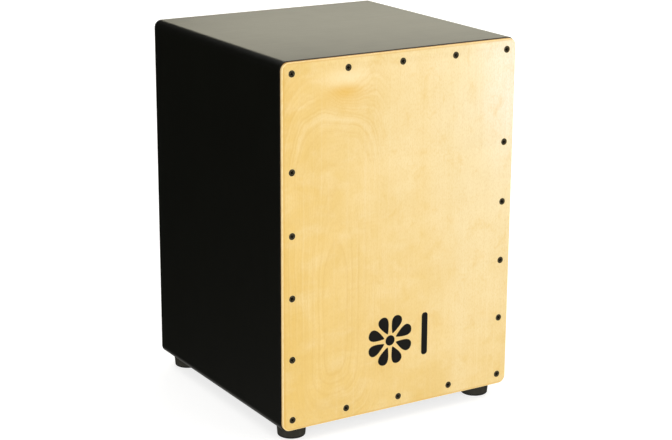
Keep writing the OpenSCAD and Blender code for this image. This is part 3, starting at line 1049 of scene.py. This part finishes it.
def coil(x, turn):
    """One snare wire: a tight coil of thin wire from the clip to its free end."""
    wire_r = 0.28 * MM
    coil_r = WIRE_R - wire_r
    pitch = 1.5 * MM
    steps, sides = 11, 5
    turns = (WIRE_HIGH_Z - WIRE_LOW_Z - 2 * wire_r) / pitch
    rings = []
    for i in range(int(turns * steps) + 1):
        angle = turn + 2 * math.pi * i / steps
        middle = Vector((coil_r * math.cos(angle), coil_r * math.sin(angle), i / steps * pitch))
        out = Vector((math.cos(angle), math.sin(angle), 0))
        along = Vector((-math.sin(angle), math.cos(angle), pitch / (2 * math.pi * coil_r))).normalized()
        up = along.cross(out)
        rings.append([middle + out * (wire_r * c) + up * (wire_r * s) for c, s in circle(1.0, sides)])
    shape = Shape()
    numbered = shape.loft(rings, "steel")
    shape.cap([numbered[0]], "steel")
    shape.cap([numbered[-1]], "steel")
    return shape.moved(Matrix.Translation((x, CLIP_FACE_Y - WIRE_R, WIRE_LOW_Z + wire_r)))


def snare_wires(node, x):
    shape = Shape()
    for i in range(WIRE_COUNT):
        shape.join(coil((i - (WIRE_COUNT - 1) / 2) * WIRE_PITCH, rng.uniform(0, 2 * math.pi)))
    shape.moved(leaned(x))
    shape.finish(f"{node}_coils", [node], body="snare", sharp=80)


def snare_clip_screws():
    shape = Shape()
    shank_r, head_h = 1.2 * MM, 1.2 * MM
    under = [(2.2 * MM, 0.7 * MM), (2.1 * MM, head_h), (shank_r, head_h)]
    for x in (-SNARE_X, SNARE_X):
        for screw_x in CLIP_SCREW_XS:
            turn = rng.uniform(0, 1.5)
            one = screw(2.15 * MM, 0.6 * MM, under, shank_r, 10 * MM, "steel", turn, segments=32)
            shape.join(one.moved(leaned(x) @ facing_front(screw_x, CLIP_FACE_Y - head_h, CLIP_SCREW_Z)))
    shape.finish("snare_clip_screw_set", ["snare_clip_screws"], body="snare")


# ---------------------------------------------------------------- camera, light and floor


def camera():
    """Camera at the viewing angle: its place, its aim from azimuth and elevation, and a long lens."""
    data = bpy.data.cameras.new("camera")
    view = bpy.data.objects.new("camera", data)
    bpy.context.scene.collection.objects.link(view)
    azimuth, elevation, roll = math.radians(-31.449), math.radians(16.11), math.radians(0.279)
    level = math.cos(elevation)
    back = Vector((math.sin(azimuth) * level, -math.cos(azimuth) * level, math.sin(elevation)))
    # From the middle of the plate's lower edge
    view.location = (-1.0308, FACE_Y - 1.5493, BOX_BOTTOM_Z + 0.7564)
    aim = (-back).to_track_quat("-Z", "Y").to_matrix().to_4x4() @ Matrix.Rotation(roll, 4, "Z")
    view.rotation_euler = aim.to_euler()
    data.sensor_width = 36
    data.lens = 94.752
    data.clip_start, data.clip_end = 0.05, 200
    bpy.context.scene.camera = view


def area_light(name, place, target, size, watts, colour=(1, 1, 1)):
    data = bpy.data.lights.new(name, "AREA")
    data.shape = "RECTANGLE"
    data.size, data.size_y = size
    data.energy = watts
    data.color = colour
    light = bpy.data.objects.new(name, data)
    bpy.context.scene.collection.objects.link(light)
    light.location = place
    light.rotation_euler = (Vector(target) - Vector(place)).to_track_quat("-Z", "Y").to_euler()
    light.visible_camera = False


def studio():
    area_light("key_right", (1.5, -2.5, 1.2), (0.05, 0, 0.20), (1.6, 1.6), 25, (1.0, 0.985, 0.95))
    area_light("fill_left", (-2.2, -1.7, 0.5), (-0.15, -0.15, 0.15), (1.2, 1.4), 13, (1.0, 0.98, 0.94))
    area_light("seat_sheen", (3.10, 2.8, 2.1), (0, 0, 0.42), (4.4, 2.4), 86, (1.0, 0.955, 0.76))
    area_light("overhead", (0.0, 0.0, 3.2), (0, 0, 0), (4.5, 4.5), 58)
    world = bpy.data.worlds.new("studio")
    world.use_nodes = True
    tree = world.node_tree
    background = tree.nodes["Background"]
    background.inputs["Strength"].default_value = 0.55
    # The room lights from above the horizon. Gloss sees dark walls and, far down, the pale floor
    direction = tree.nodes.new("ShaderNodeSeparateXYZ")
    tree.links.new(tree.nodes.new("ShaderNodeTexCoord").outputs["Generated"], direction.inputs[0])
    height = Signal(tree, direction.outputs[2])
    is_gloss = Signal(tree, tree.nodes.new("ShaderNodeLightPath").outputs["Is Glossy Ray"])
    room = blend_colours(tree, height.smooth(-0.03, 0.03), (0.05, 0.05, 0.045), (1.0, 0.985, 0.93))
    walls = blend_colours(tree, height.smooth(-0.38, -0.62), (0.012, 0.012, 0.010), (0.9, 0.88, 0.82))
    tree.links.new(blend_colours(tree, is_gloss, room, walls).socket, background.inputs["Color"])
    bpy.context.scene.world = world


def pale_sheet(name, rings, grey, glow):
    """Round sheet of the studio through rings of (radius, height), brightened by a glow of its own."""
    paint = Paint(name, roughness=0.7, specular=0.2)
    mottle = paint.noise((3, 3, 3), detail=3)
    paint.colour(paint.mix(mottle, (grey,) * 3, (grey * 1.04, grey * 1.04, grey * 1.03)))
    paint.shader.inputs["Emission Color"].default_value = (1, 1, 1, 1)
    paint.shader.inputs["Emission Strength"].default_value = glow
    steps = 64
    points = [(x, y, height) for radius, height in rings for x, y in circle(radius, steps)]
    faces = []
    for start in range(0, (len(rings) - 1) * steps, steps):
        for i in range(steps):
            here, after = start + i, start + (i + 1) % steps
            faces.append((here, here + steps, after + steps, after))
    mesh = bpy.data.meshes.new(name)
    mesh.from_pydata(points, [], faces)
    mesh.materials.append(paint.material)
    sheet = bpy.data.objects.new(name, mesh)
    bpy.context.scene.collection.objects.link(sheet)
    sheet.visible_glossy = False
    return sheet


def floor_and_backdrop():
    """Pale floor, and a round wall far behind it that only the camera sees."""
    pale_sheet("floor", [(0.001, 0), (2, 0), (8, 0), (16, 0)], 0.40, 0.76)
    wall = pale_sheet("backdrop", [(15, -0.1), (15, 14)], 0.80, 1.0)
    wall.visible_diffuse = False
    wall.visible_shadow = False


# ---------------------------------------------------------------- the whole

camera()
studio()
floor_and_backdrop()
bpy.context.scene.view_settings.view_transform = "Standard"

cross_panel("top_panel", 1, BOX_TOP_Z, "seat_black")
cross_panel("bottom_panel", -1, BOX_BOTTOM_Z, "side_black")
side_panel("left_side_panel", -1)
side_panel("right_side_panel", 1)
back_panel()
front_plate()
front_plate_screws()
emblem()
for part in frame["record"]["subparts"]:
    node = part["node"]
    if node.startswith(("front_batten", "rear_batten")):
        stick(node, "z" if node.endswith(("left", "right")) else "x")
    elif node.startswith("corner_block"):
        stick(node, "y")
foot_hardware([foot(f"foot_{end}_{side}") for end in ("front", "rear") for side in ("left", "right")])
snare_bar()
snare_block_screws([snare_block("snare_block_left", -1), snare_block("snare_block_right", 1)])
for node, x in (("left", -SNARE_X), ("right", SNARE_X)):
    snare_clip(f"snare_clip_{node}", x)
    snare_wires(f"snare_wires_{node}", x)
snare_clip_screws()
